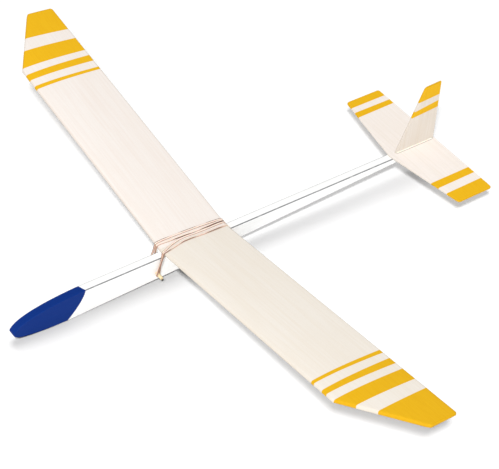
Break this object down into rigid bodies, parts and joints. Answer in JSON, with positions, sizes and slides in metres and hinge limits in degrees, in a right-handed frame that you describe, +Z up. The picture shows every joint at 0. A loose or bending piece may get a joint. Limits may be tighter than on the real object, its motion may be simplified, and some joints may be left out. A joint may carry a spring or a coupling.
{
  "type": "balsa hand glider",
  "caption": "Hand-launched balsa glider: board fuselage with a rounded nose, dihedral wing strapped to a wedge seat by rubber bands, glued tailplane and fin.",
  "frame": {"origin": "middle of the overall box in X and Y, at the height of the keel's lowest point", "axes": "+Z up, square to the fuselage's straight top edge; nose towards -Y and tail towards +Y; +X to the glider's port side"},
  "size_m": [0.6212, 0.4612, 0.0985],
  "materials": {
    "white_paint": "white paint on sanded wood, satin, with a blue nose",
    "balsa": "bare sanded balsa with painted yellow bands at the tips",
    "beech": "bare dowel",
    "steel": "cut bar",
    "band_rubber": "natural rubber, matt"
  },
  "bodies": {
    "airframe": {"fuselage": "white_paint", "wing_seat": "white_paint", "stabilizer": "balsa", "fin": "balsa", "front_peg": "beech", "rear_peg": "beech", "ballast_pin": "steel", "nose_plug": "beech", "rubber_band_port": "band_rubber", "rubber_band_starboard": "band_rubber"},
    "wing": {"wing_panel_port": "balsa", "wing_panel_starboard": "balsa"}
  },
  "joints": [
    {"name": "wing_trim", "type": "slide", "parent": "airframe", "child": "wing", "axis": [0, 0.9997, -0.0227], "range_m": [-0.006, 0.006], "deforming": ["rubber_band_port", "rubber_band_starboard"]}
  ]
}
